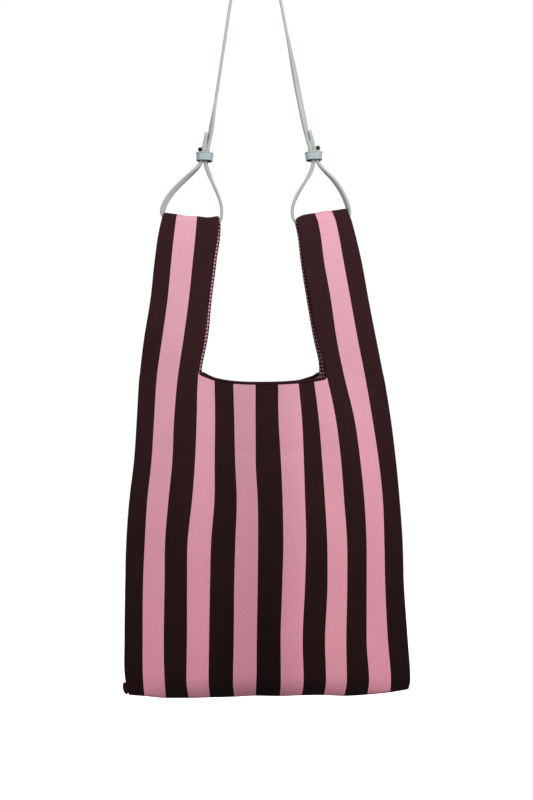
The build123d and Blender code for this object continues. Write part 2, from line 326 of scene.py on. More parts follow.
def yarn_colours(finish, place, across, along, chance):
    """The two yarns' colours, with bird's-eye specks, a little different in every stitch, and
    painted shade.
    """
    split = finish.add("ShaderNodeSeparateXYZ", Vector=place)
    # Painted shade: both yarns are painted darker and deeper towards the bottom of the bag, for the
    # light falling off there.
    level = finish.add("ShaderNodeMapRange", Value=split.outputs["Z"], From_Min=LOW_LEVEL,
                       From_Max=HIGH_LEVEL).outputs["Result"]
    base = finish.mix(level, PINK_BOTTOM_SHADE, PINK)
    eye = finish.math("COSINE", finish.math("MULTIPLY", across, 2 * pi * EYES))
    row = finish.math("COSINE", finish.math("MULTIPLY", along, 2 * pi / EYE_HEIGHT))
    eye = finish.math("MULTIPLY_ADD", finish.math("MULTIPLY", eye, row), 0.5, 0.5)
    # Painted shade: a band near the middle of the cloth is painted duller, on both yarns.
    band_shade = finish.math("DIVIDE", finish.math("SUBTRACT", across, SHADED_BAND_MIDDLE), SHADED_BAND_WIDTH)
    band_shade = finish.math("SUBTRACT", 1.0, finish.math("MULTIPLY", band_shade, band_shade))
    band_shade = finish.math("MULTIPLY", finish.math("MAXIMUM", band_shade, 0.0), SHADED_BAND_DEPTH)
    light = finish.math("MULTIPLY_ADD", eye, EYE_DEPTH, 1 - EYE_DEPTH)
    odd = finish.math("SUBTRACT", chance, 0.5)
    light = finish.math("MULTIPLY_ADD", odd, STITCH_CHANCE, light)
    light = finish.math("SUBTRACT", light, band_shade)
    # Painted shade: the cloth is painted darker at the turn over the strap.
    fold = finish.add("ShaderNodeMapRange", Value=along, From_Min=FOLD_FROM, From_Max=FOLD_TO,
                      To_Min=1.0, To_Max=FOLD_SHADE).outputs["Result"]
    light = finish.math("MULTIPLY", light, fold)
    pink = finish.mix(light, BLACK, base)
    share = finish.math("MULTIPLY", chance, DARK_CHANCE)
    share = finish.math("MULTIPLY_ADD", eye, DARK_EYE, share)
    share = finish.math("MULTIPLY_ADD", finish.noise(place, CLOUDS), DARK_CLOUD, share)
    dark = finish.mix(share, DARK, DARK_LIGHT)
    light = finish.math("MULTIPLY_ADD", level, 1 - DARK_BOTTOM_SHADE, DARK_BOTTOM_SHADE)
    light = finish.math("SUBTRACT", light, finish.math("MULTIPLY", band_shade, SHADED_BAND_DARK))
    light = finish.math("MULTIPLY", light, fold)
    return pink, finish.mix(light, BLACK, dark)


def pink_flecks(finish, across, along):
    """1 on the wrong side's small slanting flecks, and 0 between them and at the outer edges."""
    row = finish.math("FRACT", finish.math("DIVIDE", along, FLECK_HEIGHT))
    wale = finish.math("FRACT", finish.math("MULTIPLY", across, FLECKS))
    narrowed = finish.math("MULTIPLY_ADD", row, FLECK_NARROWING, wale)
    inside = finish.math("LESS_THAN", narrowed, FLECK_END)
    inside = finish.math("MULTIPLY", inside, finish.math("GREATER_THAN", wale, FLECK_START))
    inside = finish.math("MULTIPLY", inside, finish.math("LESS_THAN", row, FLECK_TOP))
    middle = finish.math("ABSOLUTE", finish.math("SUBTRACT", across, STRIPES / 2))
    off_edge = finish.math("LESS_THAN", middle, STRIPES / 2 - EDGE_SHARE)
    return finish.math("MULTIPLY", inside, off_edge)


def finish_knit(name, wrong_side):
    """The striped knit. Its wrong side shows both yarns as small slanting flecks."""
    finish = Finish(name)
    place = finish.place()
    across, along = finish.cloth()
    height, chance = stitches(finish, across, along)
    pink, dark = yarn_colours(finish, place, across, along, chance)
    if wrong_side:
        share = finish.math("SUBTRACT", 1.0, pink_flecks(finish, across, along))
    else:
        share = dark_share(finish, across, height)
    finish.feed(finish.shader.inputs["Base Color"], finish.mix(share, pink, dark))
    finish.surface(YARN_ROUGHNESS, YARN_SPECULAR)
    finish.shader.inputs["Sheen Weight"].default_value = SHEEN
    finish.shader.inputs["Sheen Roughness"].default_value = SHEEN_ROUGHNESS
    finish.bump(height, STITCH_DEPTH, STITCH_STRENGTH)
    return finish.material


def finish_dark_knit(name):
    """Dark ribbed yarn of the bindings, seams and edges."""
    finish = Finish(name)
    place = finish.place()
    split = finish.add("ShaderNodeSeparateXYZ", Vector=place)
    slant = finish.math("ADD", split.outputs["X"], split.outputs["Z"])
    slant = finish.math("MULTIPLY_ADD", split.outputs["Y"], RIB_SLANT, slant)
    rib = finish.math("SINE", finish.math("MULTIPLY", slant, 2 * pi / RIB_PITCH))
    fluff = finish.math("MULTIPLY", finish.noise(place, FLUFF_SCALE), FLUFF_HEIGHT)
    height = finish.math("MULTIPLY_ADD", rib, RIB_HEIGHT, fluff)
    # Painted light: the ribs' tops are painted lighter and their grooves darker; the fluff adds
    # random tone.
    light = finish.math("MULTIPLY_ADD", height, RIB_LIGHT, GROOVE_LIGHT)
    finish.feed(finish.shader.inputs["Base Color"], finish.mix(light, DARK, DARK_LIGHT))
    finish.surface(YARN_ROUGHNESS, YARN_SPECULAR)
    finish.bump(height, BINDING_DEPTH, BINDING_STRENGTH)
    return finish.material


def finish_leather(name, paler, darker, grain):
    """Smooth pigmented leather with a fine grain, paler and darker in patches."""
    finish = Finish(name)
    place = finish.place()
    cells = finish.add("ShaderNodeTexVoronoi", Vector=place, Scale=grain)
    patches = finish.noise(place, PATCH_SCALE, detail=3.0)
    pores = finish.noise(place, PORE_SCALE)
    share = finish.math("MULTIPLY", pores, PORE_SHARE)
    share = finish.math("MULTIPLY_ADD", patches, 1 - PORE_SHARE, share)
    finish.feed(finish.shader.inputs["Base Color"], finish.mix(share, darker, paler))
    finish.surface(LEATHER_ROUGHNESS, LEATHER_SPECULAR)
    height = finish.math("MULTIPLY_ADD", pores, PORE_HEIGHT, cells.outputs["Distance"])
    finish.bump(height, GRAIN_DEPTH, GRAIN_STRENGTH)
    return finish.material


def finish_brass(name):
    """Polished brass, with dark patches painted in as reflections."""
    finish = Finish(name)
    place = finish.place()
    # Painted reflection: dark patches on the brass.
    share = finish.math("GREATER_THAN", finish.noise(place, DARK_REFLECTION_SCALE, detail=1.0), 0.5)
    finish.feed(finish.shader.inputs["Base Color"], finish.mix(share, BRASS_WARM, BRASS_DEEP))
    finish.shader.inputs["Metallic"].default_value = 1.0
    finish.shader.inputs["Roughness"].default_value = BRASS_ROUGHNESS
    scratches = finish.noise(place, SCRATCH_SCALE, detail=1.0)
    finish.bump(scratches, SCRATCH_DEPTH, SCRATCH_STRENGTH)
    return finish.material


knit_right_side = finish_knit("striped_knit", wrong_side=False)
knit_wrong_side = finish_knit("striped_knit_inside", wrong_side=True)
knit_edge = finish_dark_knit("dark_knit")
strap_leather = finish_leather(
    "strap_leather", colour(170, 176, 171), colour(159, 165, 160), grain=900.0
)
keeper_leather = finish_leather(
    "keeper_leather", colour(160, 174, 176), colour(148, 161, 163), grain=800.0
)
# Painted shade: the keeper's inner wall is painted near-black, for the shade inside it.
keeper_painted_shade = finish_leather("keeper_painted_shade", colour(74, 80, 80), colour(58, 64, 64), grain=800.0)
brass = finish_brass("stud_brass")
# Painted shade: the stud's hollow end is painted near-black.
stud_hollow_shade = finish_leather("stud_hollow", colour(30, 24, 18), colour(22, 17, 12), grain=900.0)


# ---- The shoulder strap ------------------------------------------------------------------

STRAP_WIDTH = 5.8 * MM
STRAP_THICKNESS = 3.8 * MM        # where it is thickest
STRAP_CORNER = 0.9 * MM
STRAP_STEPS = 14                  # points of its line from one corner of its route to the next

# From the left tail's cut end through the left handle, over the peg, through the right handle
# and back to the right tail: (x, z) in metres, in the plane of the bag.
STRAP_ROUTE = [
    (-0.04982, -0.2280), (-0.05469, -0.2543), (-0.05584, -0.2605), (-0.0626, -0.2686),
    (-0.0736, -0.2780), (-0.0866, -0.2912), (-0.0944, -0.3032), (-0.0970, -0.3130),
    (-0.0944, -0.3188), (-0.0388, -0.3236), (-0.0338, -0.3192), (-0.0340, -0.3045),
    (-0.0382, -0.2925), (-0.0460, -0.2755), (-0.05147, -0.2605), (-0.05032, -0.2543),
    (-0.04461, -0.2235), (-0.00955, 0.0110), (0.00915, 0.0110), (0.05349, -0.2235),
    (0.06146, -0.2543), (0.06306, -0.2605), (0.0586, -0.2725), (0.0512, -0.2840),
    (0.0434, -0.2972), (0.0399, -0.3085), (0.0407, -0.3188), (0.0460, -0.3240), (0.0976, -0.3186),
    (0.1008, -0.3140), (0.0980, -0.3025), (0.0926, -0.2906), (0.0848, -0.2786), (0.0744, -0.2684),
    (0.0675, -0.2605), (0.0659, -0.2543), (0.05858, -0.2260),
]

# How far the strap's face is turned towards the front, in degrees, at distances along it in
# metres: 0 shows its edge to the front and 90 its face. Below 0 it leans the other way.
STRAP_TURNS = [
    (0.000, 0), (0.010, -8), (0.020, -12), (0.030, -8), (0.043, 26), (0.058, 48), (0.076, 62),
    (0.090, 66), (0.099, 40), (0.106, 0), (0.167, 0), (0.175, 6), (0.195, 6), (0.205, 4),
    (0.216, -11), (0.230, -10), (0.241, 0), (0.266, 40), (0.290, 8), (0.330, 0), (0.640, 0),
    (0.722, 70), (0.741, 54), (0.757, 20), (0.770, -2), (0.780, -7), (0.800, -5), (0.812, 4),
    (0.846, 6), (0.853, 0), (0.904, 0), (0.912, 24), (0.922, 40), (0.949, 34), (0.965, 18),
    (0.978, -4), (0.990, -7), (1.000, -4), (1.010, 0),
]
# Its thickness (mm) along the same line: slimmer in the two loops than by the keepers.
STRAP_GAUGES = [
    (0.000, 3.8), (0.035, 3.8), (0.044, 2.9), (0.204, 2.9), (0.212, 3.8), (0.244, 3.8),
    (0.254, 3.0), (0.600, 3.0), (0.700, 3.6), (0.760, 3.8), (0.799, 3.8), (0.808, 2.9),
    (0.966, 2.9), (0.975, 3.8), (1.010, 3.8),
]


def strap_line():
    """Points along the strap's own line, a NURBS curve through the plane of the bag."""
    data = bpy.data.curves.new("strap_line", "CURVE")
    data.dimensions = "3D"
    data.resolution_u = STRAP_STEPS
    spline = data.splines.new("NURBS")
    spline.points.add(len(STRAP_ROUTE) - 1)
    for point, (x, z) in zip(spline.points, STRAP_ROUTE):
        point.co = (x, 0, z, 1)
    spline.order_u = 3
    spline.use_endpoint_u = True
    curve = bpy.data.objects.new("strap_line", data)
    bpy.context.scene.collection.objects.link(curve)
    bpy.context.view_layer.update()
    line = bpy.data.meshes.new_from_object(curve)
    points = [Vector(v.co) for v in line.vertices]
    bpy.data.objects.remove(curve)
    return points


def make_strap(points):
    """A flat lace with rounded edges that turns about its own line."""
    turn_at = smooth_line(STRAP_TURNS)
    gauge_at = smooth_line(STRAP_GAUGES)
    section = rounded_section(STRAP_WIDTH, STRAP_THICKNESS, STRAP_CORNER)
    front = Vector((0, -1, 0))
    run = 0.0
    uvs, rings = [], []
    for i, point in enumerate(points):
        before, after = points[max(i - 1, 0)], points[min(i + 1, len(points) - 1)]
        run += (point - before).length
        along = (after - before).normalized()
        side = along.cross(front)
        turn = radians(float(turn_at(run)))
        across = front * cos(turn) + side * sin(turn)
        outward = along.cross(across)
        outward *= float(gauge_at(run)) * MM / STRAP_THICKNESS
        rings.append([point + across * a + outward * b for a, b in section])
        uvs += [(a / STRAP_WIDTH + 0.5, run) for a, _ in section]
    return make_tube("strap_lace", rings, uvs)


# Middle of each keeper (mm), its strands' lean in degrees, and -1 or 1 for the stud's side.
LACES = {
    "left": ((-52.45, -254.0), 10.5, -1),
    "right": ((63.4, -253.2), -14.5, 1),
}
KEEPER_SIZE = (18.8, 13.8)
KEEPER_CORNER = 6.2
KEEPER_OFFSET = -0.5              # from the strands' middle towards the stud
KEEPER_SLIM = 0.8                 # how much slimmer, each side, a keeper is at its lower end
KEEPER_HEIGHT = 9.6
KEEPER_PITCH = 10                 # degrees that its front is tipped up
KEEPER_ROLL = {"left": 8.0, "right": -11.0}    # how much of the strands' lean it doesn't share
# Height and inset round the wall of a keeper: up its outside, then down its inside.
KEEPER_PROFILE = [
    (-4.45, 0.9), (-4.3, 0.2), (-3.7, -0.15), (-3.05, 0.0), (-2.75, 0.4), (-2.4, 0.4), (-1.4, 0.2),
    (0.0, 0.2), (1.4, 0.2), (2.4, 0.35), (2.75, 0.35), (3.05, 0.0), (3.7, -0.2), (4.3, 0.1),
    (4.45, 0.8), (4.4, 1.5), (3.9, 1.9), (2.0, 2.1), (-2.0, 2.1), (-3.9, 1.9), (-4.4, 1.5),
]
INSIDE_FROM = 15                  # the profile's points from here on are inside the keeper, which is painted dark as shade

STUD_HEIGHTS = {"left": 7.0, "right": 7.5}    # above the keeper's middle, along the strands
STUD_SCALES = {"left": 1.16, "right": 1.26}
STUD_STRETCH = 1.25               # its ball's length, against its profile
STUD_TURNS = {"left": 25, "right": 12}        # degrees that its end is turned to the front
STRAND_FACE = 4.05                # from the strands' middle to the tail's outer face
TURNED_SIDES = 28
# Along the stud's axis from the tail's face outwards, and radius (mm).
STUD_PROFILE = [
    (-5.0, 0.01), (-5.0, 0.5), (0.0, 0.5), (0.0, 1.35), (0.2, 1.5), (0.35, 1.3), (0.45, 1.3),
    (0.6, 1.65), (1.0, 1.95), (1.5, 2.1), (2.0, 2.0), (2.4, 1.75), (2.6, 1.5), (2.6, 1.3),
    (2.4, 1.2), (1.9, 1.15), (1.8, 0.01),
]
HOLLOW_FROM = 14                  # the profile's points from here on line its hollow end, which is painted dark as shade
# The screw's plain flat head lies on the main strand's inner face.
SCREW_PROFILE = [
    (-5.2, 0.01), (-5.2, 0.5), (-7.0, 0.5), (-7.1, 1.5), (-8.15, 1.6), (-8.3, 1.4), (-8.3, 0.8),
    (-8.15, 0.6), (-8.1, 0.01),
]


def lace_frame(side):
    """A keeper's own axes: x out to the stud's side, y across, z up the strands. Metres."""
    (x, z), lean, sign = LACES[side]
    upward = Vector((sin(radians(lean)), 0, cos(radians(lean))))
    outward = Vector((sign * upward.z, 0, -sign * upward.x))
    across = upward.cross(outward)
    turned = Matrix((outward, across, upward)).transposed().to_4x4()
    return Matrix.Translation(Vector((x, 0, z)) * MM) @ turned


def make_keeper(side):
    """A stiff leather ring with two raised rims, a little slimmer at its lower end."""
    placed = lace_frame(side)
    middle = Matrix.Translation(placed.to_translation())
    pitch = Matrix.Rotation(radians(-KEEPER_PITCH), 4, "X")
    roll = Matrix.Rotation(radians(-KEEPER_ROLL[side]), 4, "Y")
    placed = middle @ pitch @ roll @ middle.inverted() @ placed
    rings = []
    for height, inset in KEEPER_PROFILE:
        inset += KEEPER_SLIM * (0.5 - height / KEEPER_HEIGHT)
        outline = rounded_section(
            KEEPER_SIZE[0] - 2 * inset, KEEPER_SIZE[1] - 2 * inset, KEEPER_CORNER - inset, steps=6
        )
        wall = [Vector((KEEPER_OFFSET + a, b, height)) for a, b in outline]
        rings.append([placed @ (point * MM) for point in wall])
    keeper = make_tube(f"{side}_keeper_ring", rings, loop=True)
    keeper.data.materials.append(keeper_leather)
    keeper.data.materials.append(keeper_painted_shade)
    # The inner wall takes the painted shade.
    for face in keeper.data.polygons:
        face.material_index = int(min(face.vertices) // len(rings[0]) >= INSIDE_FROM)
    subdivide(keeper)
    return keeper


def make_turned(name, side, profile):
    """A turned metal part on the axis of a stud."""
    stud_side = LACES[side][2]
    turn = Matrix.Rotation(radians(-stud_side * STUD_TURNS[side]), 4, "Z")
    placed = lace_frame(side) @ Matrix.Translation((0, 0, STUD_HEIGHTS[side] * MM)) @ turn
    scale = STUD_SCALES[side]
    rings = []
    for distance, radius in profile:
        outward = STRAND_FACE + distance * (scale * STUD_STRETCH if distance > 0 else 1)
        wall = [Vector((outward, scale * radius * a, scale * radius * b))
                for a, b in circle(TURNED_SIDES)]
        rings.append([placed @ (point * MM) for point in wall])
    part = make_tube(name, rings)
    part.data.materials.append(brass)
    part.data.materials.append(stud_hollow_shade)
    if profile is STUD_PROFILE:
        for face in part.data.polygons:
            face.material_index = int(min(face.vertices) // TURNED_SIDES >= HOLLOW_FROM)
    return part


# ---- The knitted bag ---------------------------------------------------------------------
# Across the cloth, u counts the stripes: 0 at the left edge, 13 at the right one, and a whole
# number at each stripe's edge. The cloth between edges 0 and 3, and between edges 10 and 13,
# goes on up into the two handles.

COLUMNS = 4                       # columns of the mesh in each stripe
BODY_ROWS = 58
HANDLE_ROWS = 27
FOLD_ROWS = 10
KNIT = 1.6                        # thickness of the cloth
BULGE_DISTANCE = 2340.0           # the larger, the less the stripes close up where the front bulges
NECK_LEFT, NECK_RIGHT = 3, 10     # the neckline runs between these stripe edges
NECK_EDGES = NECK_RIGHT - NECK_LEFT - 1    # stripe edges that end at the neckline
AXIS_LEVEL = frame["joints"][0]["pos_m"][2] / MM    # of the hinge that the bag swings on
FOLD_HALF_WIDTH = 6.0             # from the bag's middle plane to the cloth beside the strap
FRONT_SHARE = 0.70                # the front's share of the turn over the strap

# x of the stripes' edges at each level: the left handle's four, then the right handle's.
HANDLE_EDGES = {
    -321: (-98.3, -82.6, -60.4, -36.2, 43.9, 67.3, 85.9, 103.6),
    -333: (-101.0, -84.0, -61.4, -37.0, 46.9, 69.8, 88.6, 106.8),
    -362: (-105.2, -87.1, -64.3, -42.2, 50.8, 73.5, 93.8, 113.7),
    -404: (-109.8, -91.1, -68.6, -47.7, 58.2, 81.0, 101.5, 121.4),
    -447: (-116.8, -97.0, -74.4, -52.8, 66.2, 87.1, 109.4, 129.8),
}
# And of all fourteen, from left to right.
BODY_EDGES = {
    -482: (-120.9, -102.0, -79.7, -58.3, -41.8, -22.3, 1.5,
           25.5, 46.1, 62.3, 75.6, 94.1, 116.3, 136.7),
    -531: (-123.9, -105.2, -84.2, -60.2, -41.0, -20.8, 1.5,
           25.8, 50.8, 68.4, 86.2, 105.9, 124.7, 144.7),
    -573: (-126.7, -107.8, -85.9, -61.9, -41.4, -19.8, 1.5,
           28.4, 52.5, 71.8, 91.6, 111.8, 131.1, 149.9),
    -615: (-131.7, -112.3, -90.2, -65.1, -41.7, -18.0, 3.7,
           30.2, 53.8, 74.7, 94.8, 116.1, 135.5, 153.9),
    -657: (-134.8, -114.8, -93.6, -69.8, -45.1, -19.5, 4.1,
           31.0, 54.9, 77.0, 97.8, 118.4, 136.9, 156.9),
    -700: (-136.0, -116.7, -94.1, -70.3, -46.3, -20.7, 3.8,
           29.9, 53.7, 77.5, 98.0, 118.5, 137.8, 158.2),
    -762: (-136.8, -117.2, -95.1, -70.4, -47.4, -21.2, 2.8,
           28.1, 51.1, 74.8, 97.0, 118.3, 140.8, 162.4),
    -805: (-135.9, -116.7, -94.0, -71.1, -47.9, -22.0, 2.3,
           28.3, 52.2, 75.9, 97.6, 121.1, 144.1, 165.2),
    -821: (-132.7, -115.4, -92.9, -68.7, -46.5, -20.6, 1.5,
           27.1, 49.9, 73.1, 94.5, 118.7, 143.1, 162.2),
}
# Height of the bottom at each stripe edge.
BOTTOM_EDGE = (-819.4, -820.6, -822.6, -822.6, -822.0, -821.3, -820.2, -820.6, -819.8, -819.5,
               -820.4, -819.1, -816.6, -813.4)
# Height of the two necklines at stripe edges 3 to 10.
NECKLINES = {
    "front": (-480.7, -487.2, -490.5, -491.6, -491.5, -490.3, -488.5, -486.0),
    "back": (-480.0, -486.8, -490.3, -491.3, -491.0, -489.4, -484.8, -480.5),
}
# How much further the back handles' inner edges reach in than the front ones', by level.
BACK_REACH = {
    "left": [(-321, 1.2), (-330, 1.8), (-341, 2.3), (-353, 2.7), (-377, 3.4), (-400, 3.2),
             (-440, 4.0), (-460, 3.2), (-482, 2.4), (-520, 0.0)],
    "right": [(-321, 1.6), (-362, 2.0), (-404, 2.8), (-447, 3.2), (-470, 4.2), (-482, 6.4),
              (-520, 0.0)],
}
# Over the strap: the stripes' edges at the top of each fold, and the fold's height there.
FOLD_EDGES = (-95.2, -80.9, -60.0, -36.9, 44.2, 63.8, 81.6, 98.0)
FOLD_TOPS = {
    "left": [(0, -312.2), (0.5, -312.9), (1, -313.9), (1.25, -314.7), (1.5, -316.1), (2, -315.9),
             (2.5, -317.6), (2.85, -316.2), (3, -315.5)],
    "right": [(10, -318.7), (10.2, -316.0), (10.55, -313.9), (11, -312.8), (11.5, -310.8),
              (12, -310.2), (12.5, -309.0), (13, -307.7)],
}

# Level, half the gap between the panels' middle surfaces at the edges, and the crown between.
DEPTHS = [
    (-321, FOLD_HALF_WIDTH, 0.4), (-345, 6.6, 1.4), (-390, 6.4, 3.6), (-435, 4.6, 6.4),
    (-480, 1.9, 9.5), (-540, 1.6, 13.0), (-610, 1.6, 16.0), (-690, 1.6, 18.0), (-750, 1.6, 18.2),
    (-790, 1.6, 17.2), (-808, 1.5, 14.8), (-817, 1.3, 9.6), (-823, 1.1, 1.8),
]
# Soft ridges and dents: from (x, z) to (x, z), half width, height outwards. Front, then back.
RIDGES = {
    "front": [
        ((-58, -486), (-98, -640), 15, 2.4),
        ((76, -490), (124, -650), 17, 2.8),
        ((-36, -494), (-58, -600), 13, -1.6),
        ((44, -494), (74, -610), 15, -1.8),
        ((-110, -566), (138, -562), 7, -0.8),
        ((20, -640), (34, -780), 20, 1.6),
        ((-74, -690), (-88, -800), 16, -1.4),
        ((110, -700), (128, -806), 14, -1.5),
    ],
    "back": [
        ((-54, -486), (-92, -630), 16, 2.2),
        ((70, -488), (118, -660), 18, 2.4),
        ((-10, -500), (-24, -640), 17, -1.6),
        ((-108, -588), (130, -574), 8, -0.9),
        ((-40, -660), (-58, -790), 20, 1.6),
        ((84, -690), (96, -806), 16, -1.5),
    ],
}
EDGE_TRIM = 0.5                   # how far the cloth stops short at the side seams
HANDLE_CUP = 1.1                  # how far a handle's middle stands out from its edges
CUP_FROM, CUP_RISE = -500, 40     # the level where that begins, and the height it takes
UNEVENNESS = 1.3                  # height of the cloth's slow unevenness
UNEVEN_SPAN = (62, 85)            # its reach across and up
UNEVEN_PART = 3.1                 # keeps the front's unevenness apart from the back's
RIDGE_END = 0.12                  # how far a ridge has already risen, or sunk again, at its ends
SIDE_CALM = 4                     # ridges reach full height this many times sooner than the crown
TOP_CALM = 30                     # and this far below the strap
BOTTOM_LEVEL, BOTTOM_CALM = -822, 24       # and this far above the bottom


def edge_lines():
    """For each stripe edge, its x as a smooth function of the level."""
    lines = []
    for k in range(STRIPES + 1):
        points = [(level, row[k]) for level, row in BODY_EDGES.items()]
        if k <= NECK_LEFT:
            points += [(level, row[k]) for level, row in HANDLE_EDGES.items()]
        elif k >= NECK_RIGHT:
            points += [(level, row[k - NECK_EDGES]) for level, row in HANDLE_EDGES.items()]
        lines.append(smooth_line(points))
    return lines


EDGE_LINES = edge_lines()
GAP_AT = smooth_line([(level, gap) for level, gap, _ in DEPTHS])
CROWN_AT = smooth_line([(level, crown) for level, _, crown in DEPTHS])
BOTTOM_AT = smooth_line(list(enumerate(BOTTOM_EDGE)))
NECK_AT = {
    side: smooth_line([(NECK_LEFT + k, level) for k, level in enumerate(line)])
    for side, line in NECKLINES.items()
}
REACH_AT = {side: smooth_line(points) for side, points in BACK_REACH.items()}
FOLD_EDGE_AT = {
    "left": smooth_line(list(enumerate(FOLD_EDGES[:4]))),
    "right": smooth_line([(NECK_RIGHT + k, x) for k, x in enumerate(FOLD_EDGES[4:])]),
}
FOLD_TOP_AT = {side: smooth_line(points) for side, points in FOLD_TOPS.items()}
OUTWARD = {"front": -1, "back": 1}


def stripe_edge(panel, k, level):
    """x of a stripe's edge. The back handles reach a little further in than the front ones."""
    x = float(EDGE_LINES[k](level))
    if k == 0:
        x += EDGE_TRIM
    if k == STRIPES:
        x -= EDGE_TRIM
    if panel == "back" and k == NECK_LEFT:
        x += float(REACH_AT["left"](level))
    if panel == "back" and k == NECK_RIGHT:
        x -= float(REACH_AT["right"](level))
    return x


def across_at(panel, u, level):
    """x of the point u stripes across the cloth, at a level."""
    k = min(int(u), STRIPES - 1)
    share = u - k
    return stripe_edge(panel, k, level) * (1 - share) + stripe_edge(panel, k + 1, level) * share


def ridge_height(panel, x, level):
    """How far the cloth's folds and unevenness stand out at a point."""
    height = 0.0
    here = Vector((x, level))
    for start, end, half_width, rise in RIDGES[panel]:
        start, end = Vector(start), Vector(end)
        along = end - start
        t = min(1.0, max(0.0, (here - start).dot(along) / along.length_squared))
        away = (here - start - along * t).length
        fade = sin(pi * (RIDGE_END + (1 - 2 * RIDGE_END) * t))
        height += rise * fade * exp(-((away / half_width) ** 2))
    span, rows = UNEVEN_SPAN
    slow = noise.noise(Vector((x / span, level / rows, OUTWARD[panel] * UNEVEN_PART)))
    return height + UNEVENNESS * slow


def depth_at(panel, u, level):
    """y of the cloth's middle surface."""
    left, right = across_at(panel, 0, level), across_at(panel, STRIPES, level)
    x = across_at(panel, u, level)
    lens = 1 - ((2 * x - left - right) / (right - left)) ** 2
    out = float(GAP_AT(level)) + float(CROWN_AT(level)) * lens
    edge = min(1.0, lens * SIDE_CALM)
    top = min(1.0, max(0.0, (AXIS_LEVEL - level) / TOP_CALM))
    low = min(1.0, max(0.0, (level - BOTTOM_LEVEL) / BOTTOM_CALM))
    out += ridge_height(panel, x, level) * edge * top * low
    in_handle = u <= NECK_LEFT or u >= NECK_RIGHT
    if in_handle and level > CUP_FROM:
        across = u if u <= NECK_LEFT else u - NECK_RIGHT
        cup = 1 - (2 * across / NECK_LEFT - 1) ** 2
        out += HANDLE_CUP * cup * min(1.0, (level - CUP_FROM) / CUP_RISE) * top
    return OUTWARD[panel] * out


def panel_point(panel, u, level):
    """A point of the cloth. The front is drawn in a little where it bulges."""
    x, y = across_at(panel, u, level), depth_at(panel, u, level)
    if panel == "front":
        middle = CAMERA_AIM.x / MM
        x = middle + (x - middle) * (1 + y / BULGE_DISTANCE)
    return Vector((x, y, level)) * MM


def body_point(panel, u, t):
    """A point of the bag below its handles: t from 0 at the bottom edge to 1 at the neckline."""
    top = float(NECK_AT[panel](u))
    bottom = float(BOTTOM_AT(u))
    return panel_point(panel, u, bottom + (top - bottom) * t)


def handle_point(panel, u, t):
    """A point of a handle, from its root at t 0 to the level of the strap at t 1."""
    root = float(NECK_AT[panel](u))
    return panel_point(panel, u, root + (AXIS_LEVEL - root) * t)


def fold_point(panel, u, t):
    """A point of the turn over the strap, from the strap's level at t 0 to the seam at t 1."""
    side = "left" if u <= NECK_LEFT else "right"
    share = FRONT_SHARE if panel == "front" else 1 - FRONT_SHARE
    angle = pi * share * t
    start = panel_point(panel, u, AXIS_LEVEL)
    rise = (float(FOLD_TOP_AT[side](u)) - KNIT / 2 - AXIS_LEVEL) * sin(angle)
    x = start.x / MM + (float(FOLD_EDGE_AT[side](u)) - start.x / MM) * sin(angle)
    return Vector((x, start.y / MM * cos(angle), AXIS_LEVEL + rise)) * MM


def cloth_grid(panel):
    """Points, faces and (stripe, stretch + share of it) of one panel with its two handles."""
    points, cloth, faces = [], [], []

    def add_rows(us, ts, place, stretch, first_row=None):
        rows = [first_row] if first_row else []
        for t in ts:
            row = []
            for u in us:
                row.append(len(points))
                points.append(place(panel, u, t))
                cloth.append((u, stretch + t))
            rows.append(row)
        for low, high in zip(rows, rows[1:]):
            for a, b, c, d in zip(low, low[1:], high[1:], high):
                faces.append((a, b, c, d) if panel == "front" else (d, c, b, a))
        return rows[-1]

    us = [k / COLUMNS for k in range(STRIPES * COLUMNS + 1)]
    ts = [i / BODY_ROWS for i in range(BODY_ROWS + 1)]
    top = add_rows(us, ts, body_point, 0)
    for first, last in ((0, NECK_LEFT), (NECK_RIGHT, STRIPES)):
        picked = slice(first * COLUMNS, last * COLUMNS + 1)
        ts = [(i + 1) / HANDLE_ROWS for i in range(HANDLE_ROWS)]
        above = add_rows(us[picked], ts, handle_point, 1, top[picked])
        ts = [(i + 1) / FOLD_ROWS for i in range(FOLD_ROWS)]
        add_rows(us[picked], ts, fold_point, 2, above)
    return points, faces, cloth


# Length of the cloth's stretches, in metres: the body, a handle, the turn over the strap.
STRETCH_LENGTHS = (0.333, 0.161, 0.016)


def cloth_uvs(cloth):
    """(stripes across, metres along) of each point, from its stretch and its share of it."""
    uvs = []
    for u, t in cloth:
        whole = min(int(t), len(STRETCH_LENGTHS) - 1)
        share = t - whole
        run = sum(STRETCH_LENGTHS[:whole]) + STRETCH_LENGTHS[whole] * share
        uvs.append((u, run))
    return uvs


def make_panel(panel):
    """One knitted panel with its two handles, as thick cloth."""
    points, faces, cloth = cloth_grid(panel)
    piece = make_object(f"{panel}_knit", points, faces, cloth_uvs(cloth))
    for slot_material in (knit_right_side, knit_wrong_side, knit_edge):
        piece.data.materials.append(slot_material)
    thickness = piece.modifiers.new("thickness", "SOLIDIFY")
    thickness.thickness = KNIT * MM
    thickness.offset = 0
    thickness.use_even_offset = True
    thickness.material_offset = 1
    thickness.material_offset_rim = 2
    apply_modifiers(piece)
    subdivide(piece)
    return piece


# Depth and height of the ribs (mm), and where each lies against the cloth's own edge.
ROLL_SIZE, ROLL_DROP = (3.2, 3.8), 0.7
SIDE_SEAM_SIZE, SIDE_SEAM_INWARD, SIDE_SEAM_TOP = (5.2, 3.0), 1.2, -478.0
BOTTOM_SEAM_SIZE, BOTTOM_SEAM_RAISE = (6.6, 3.0), 0.4
TOP_SEAM_SIZE, TOP_SEAM_OUTWARD = (2.6, 2.4), 0.6
RIB_SIDES = 8
RIB_ENDS = (0.55, 0.85, 1.0)      # a rib's thickness at its first rings, against its middle


def stripes_between(first, last, steps):
    """Evenly spaced places across the cloth, counted in stripes."""
    return [first + (last - first) * i / steps for i in range(steps + 1)]


